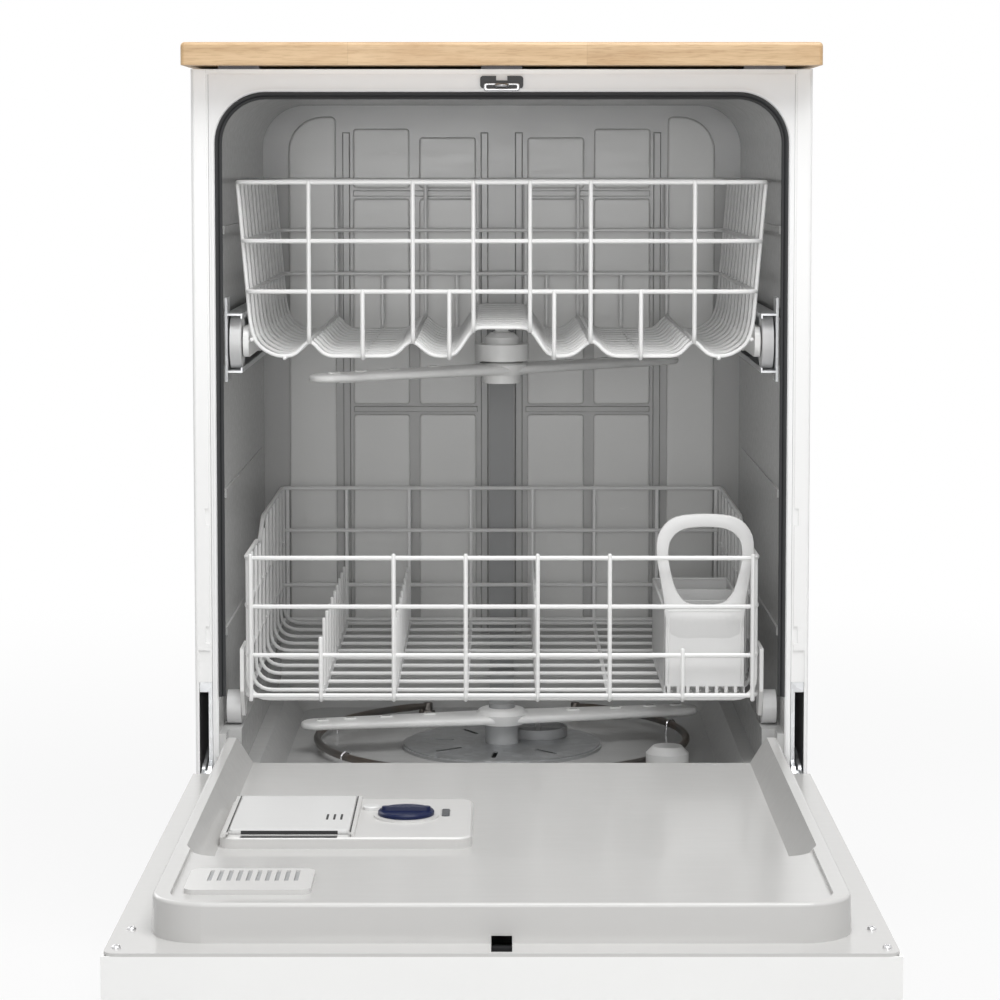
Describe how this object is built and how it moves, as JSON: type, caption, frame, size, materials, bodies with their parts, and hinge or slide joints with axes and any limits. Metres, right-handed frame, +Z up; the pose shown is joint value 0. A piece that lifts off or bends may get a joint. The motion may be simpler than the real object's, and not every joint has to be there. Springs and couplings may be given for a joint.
{
  "type": "portable dishwasher",
  "caption": "Portable dishwasher on casters with a wooden worktop, a drop-down door standing open, sliding upper and lower wire racks and a silverware basket.",
  "frame": {"origin": "on the floor, under the middle of the cabinet's footprint", "axes": "+X to the right seen from the front, -Y out of the front where the door opens, +Z up"},
  "size_m": [0.618, 1.308, 0.918],
  "materials": {
    "maple": "satin",
    "white_enamel": "gloss",
    "zinc_steel": "satin",
    "dark_steel": "satin",
    "white_plastic": "gloss",
    "pale_plastic": "gloss",
    "tub_grey": "satin",
    "mid_grey": "satin",
    "clear_plastic": "satin",
    "navy_plastic": "gloss",
    "black_plastic": "satin",
    "seal_rubber": "matte",
    "rack_wire": "satin",
    "bright_wire": "polished",
    "tyre_rubber": "matte",
    "concrete": "matte"
  },
  "bodies": {
    "cabinet": {"worktop": "maple", "worktop_brackets": "dark_steel", "top_rails": "white_enamel", "side_panel_left": "white_enamel", "side_panel_right": "white_enamel", "back_panel": "white_enamel", "tub": "tub_grey", "tub_frame": "pale_plastic", "door_gasket": "seal_rubber", "latch_strike": "bright_wire", "strike_mount": "black_plastic", "upper_rails": "zinc_steel", "feed_tube": "mid_grey", "sump": "mid_grey", "fine_filter": "zinc_steel", "heater_loop": "dark_steel", "base_frame": "zinc_steel", "toe_panel": "black_plastic", "hinge_brackets": "zinc_steel", "wash_pump": "dark_steel", "drain_pump": "mid_grey", "ballast": "concrete"},
    "door": {"door_skin": "white_enamel", "door_liner": "pale_plastic", "latch_housing": "black_plastic", "console": "white_plastic", "hinge_arms": "zinc_steel", "dispenser_body": "pale_plastic", "vent_grille": "pale_plastic"},
    "latch_lever": {"latch_handle": "pale_plastic"},
    "detergent_lid": {"dispenser_lid": "pale_plastic"},
    "release_key": {"release_button": "pale_plastic"},
    "rinse_cap": {"rinse_aid_cap": "navy_plastic"},
    "key_1": {"console_key_1": "pale_plastic"},
    "key_2": {"console_key_2": "pale_plastic"},
    "key_3": {"console_key_3": "pale_plastic"},
    "upper_basket": {"upper_rack": "rack_wire", "upper_runners": "white_plastic", "upper_arm_mount": "white_plastic"},
    "upper_arm": {"upper_spray_arm": "white_plastic"},
    "upper_wheel_fl": {"upper_roller_front_left": "mid_grey"},
    "upper_wheel_fr": {"upper_roller_front_right": "mid_grey"},
    "upper_wheel_rl": {"upper_roller_rear_left": "mid_grey"},
    "upper_wheel_rr": {"upper_roller_rear_right": "mid_grey"},
    "lower_basket": {"lower_rack": "rack_wire", "lower_wheel_brackets": "white_plastic"},
    "cutlery_basket": {"silverware_basket": "clear_plastic"},
    "lower_wheel_fl": {"lower_wheel_front_left": "mid_grey"},
    "lower_wheel_fr": {"lower_wheel_front_right": "mid_grey"},
    "lower_wheel_rl": {"lower_wheel_rear_left": "mid_grey"},
    "lower_wheel_rr": {"lower_wheel_rear_right": "mid_grey"},
    "lower_arm": {"lower_spray_arm": "white_plastic"},
    "filter_cup": {"coarse_filter": "mid_grey"},
    "water_float": {"float_dome": "pale_plastic"},
    "fork_l": {"caster_fork_left": "zinc_steel"},
    "fork_r": {"caster_fork_right": "zinc_steel"},
    "caster_fl": {"caster_wheel_front_left": "tyre_rubber"},
    "caster_fr": {"caster_wheel_front_right": "tyre_rubber"},
    "caster_rl": {"caster_wheel_rear_left": "tyre_rubber"},
    "caster_rr": {"caster_wheel_rear_right": "tyre_rubber"}
  },
  "joints": [
    {"name": "door_hinge", "type": "hinge", "parent": "cabinet", "child": "door", "pos_m": [0, -0.31, 0.2], "axis": [-1, 0, 0], "range_deg": [0, 90]},
    {"name": "latch_pull", "type": "hinge", "parent": "door", "child": "latch_lever", "pos_m": [0, -0.972, 0.153], "axis": [-1, 0, 0], "range_deg": [0, 25], "stiffness_Nm_per_rad": 2},
    {"name": "detergent_lid_slide", "type": "slide", "parent": "door", "child": "detergent_lid", "axis": [0, -1, 0], "range_m": [0, 0.038]},
    {"name": "release_press", "type": "slide", "parent": "door", "child": "release_key", "axis": [0, 0, -1], "range_m": [0, 0.0024], "stiffness_N_per_m": 200},
    {"name": "rinse_cap_turn", "type": "hinge", "parent": "door", "child": "rinse_cap", "pos_m": [-0.085, -0.597, 0.2], "axis": [0, 0, 1], "range_deg": [0, 90]},
    {"name": "key_1_press", "type": "slide", "parent": "door", "child": "key_1", "axis": [0, 0, 1], "range_m": [0, 0.0022], "stiffness_N_per_m": 400},
    {"name": "key_2_press", "type": "slide", "parent": "door", "child": "key_2", "axis": [0, 0, 1], "range_m": [0, 0.0022], "stiffness_N_per_m": 400},
    {"name": "key_3_press", "type": "slide", "parent": "door", "child": "key_3", "axis": [0, 0, 1], "range_m": [0, 0.0022], "stiffness_N_per_m": 400},
    {"name": "upper_slide", "type": "slide", "parent": "cabinet", "child": "upper_basket", "axis": [0, 1, 0], "range_m": [-0.32, 0]},
    {"name": "upper_arm_spin", "type": "hinge", "parent": "upper_basket", "child": "upper_arm", "pos_m": [0, -0.01, 0.58], "axis": [0, 0, 1], "continuous": true},
    {"name": "lower_slide", "type": "slide", "parent": "cabinet", "child": "lower_basket", "axis": [0, 1, 0], "range_m": [-0.5, 0]},
    {"name": "cutlery_lift", "type": "slide", "parent": "lower_basket", "child": "cutlery_basket", "axis": [0, 0, 1], "range_m": [0, 0.11]},
    {"name": "lower_arm_spin", "type": "hinge", "parent": "cabinet", "child": "lower_arm", "pos_m": [0, -0.015, 0.2], "axis": [0, 0, 1], "continuous": true},
    {"name": "filter_turn", "type": "hinge", "parent": "cabinet", "child": "filter_cup", "pos_m": [0.04, 0.025, 0.17], "axis": [0, 0, 1], "range_deg": [0, 60]},
    {"name": "float_rise", "type": "slide", "parent": "cabinet", "child": "water_float", "axis": [0, 0, 1], "range_m": [0, 0.012]},
    {"name": "upper_wheel_fl_roll", "type": "hinge", "parent": "upper_basket", "child": "upper_wheel_fl", "pos_m": [-0.264, -0.238, 0.624], "axis": [1, 0, 0], "continuous": true},
    {"name": "upper_wheel_fr_roll", "type": "hinge", "parent": "upper_basket", "child": "upper_wheel_fr", "pos_m": [0.264, -0.238, 0.624], "axis": [1, 0, 0], "continuous": true},
    {"name": "upper_wheel_rl_roll", "type": "hinge", "parent": "upper_basket", "child": "upper_wheel_rl", "pos_m": [-0.264, 0.165, 0.624], "axis": [1, 0, 0], "continuous": true},
    {"name": "upper_wheel_rr_roll", "type": "hinge", "parent": "upper_basket", "child": "upper_wheel_rr", "pos_m": [0.264, 0.165, 0.624], "axis": [1, 0, 0], "continuous": true},
    {"name": "lower_wheel_fl_roll", "type": "hinge", "parent": "lower_basket", "child": "lower_wheel_fl", "pos_m": [-0.269, -0.24, 0.2553], "axis": [1, 0, 0], "continuous": true},
    {"name": "lower_wheel_fr_roll", "type": "hinge", "parent": "lower_basket", "child": "lower_wheel_fr", "pos_m": [0.269, -0.24, 0.2553], "axis": [1, 0, 0], "continuous": true},
    {"name": "lower_wheel_rl_roll", "type": "hinge", "parent": "lower_basket", "child": "lower_wheel_rl", "pos_m": [-0.269, 0.15, 0.2553], "axis": [1, 0, 0], "continuous": true},
    {"name": "lower_wheel_rr_roll", "type": "hinge", "parent": "lower_basket", "child": "lower_wheel_rr", "pos_m": [0.269, 0.15, 0.2553], "axis": [1, 0, 0], "continuous": true},
    {"name": "fork_l_swivel", "type": "hinge", "parent": "cabinet", "child": "fork_l", "pos_m": [-0.245, -0.245, 0.05], "axis": [0, 0, 1], "continuous": true},
    {"name": "caster_fl_roll", "type": "hinge", "parent": "fork_l", "child": "caster_fl", "pos_m": [-0.245, -0.227, 0.022], "axis": [1, 0, 0], "continuous": true},
    {"name": "caster_rl_roll", "type": "hinge", "parent": "cabinet", "child": "caster_rl", "pos_m": [-0.245, 0.245, 0.022], "axis": [1, 0, 0], "continuous": true},
    {"name": "fork_r_swivel", "type": "hinge", "parent": "cabinet", "child": "fork_r", "pos_m": [0.245, -0.245, 0.05], "axis": [0, 0, 1], "continuous": true},
    {"name": "caster_fr_roll", "type": "hinge", "parent": "fork_r", "child": "caster_fr", "pos_m": [0.245, -0.227, 0.022], "axis": [1, 0, 0], "continuous": true},
    {"name": "caster_rr_roll", "type": "hinge", "parent": "cabinet", "child": "caster_rr", "pos_m": [0.245, 0.245, 0.022], "axis": [1, 0, 0], "continuous": true}
  ],
  "couplings": [
    {"joint": "upper_wheel_fl_roll", "follows": "upper_slide", "rad_per_m": -37.037},
    {"joint": "upper_wheel_fr_roll", "follows": "upper_slide", "rad_per_m": -37.037},
    {"joint": "upper_wheel_rl_roll", "follows": "upper_slide", "rad_per_m": -37.037},
    {"joint": "upper_wheel_rr_roll", "follows": "upper_slide", "rad_per_m": -37.037},
    {"joint": "lower_wheel_fl_roll", "follows": "lower_slide", "rad_per_m": -58.824},
    {"joint": "lower_wheel_fr_roll", "follows": "lower_slide", "rad_per_m": -58.824},
    {"joint": "lower_wheel_rl_roll", "follows": "lower_slide", "rad_per_m": -58.824},
    {"joint": "lower_wheel_rr_roll", "follows": "lower_slide", "rad_per_m": -58.824}
  ]
}
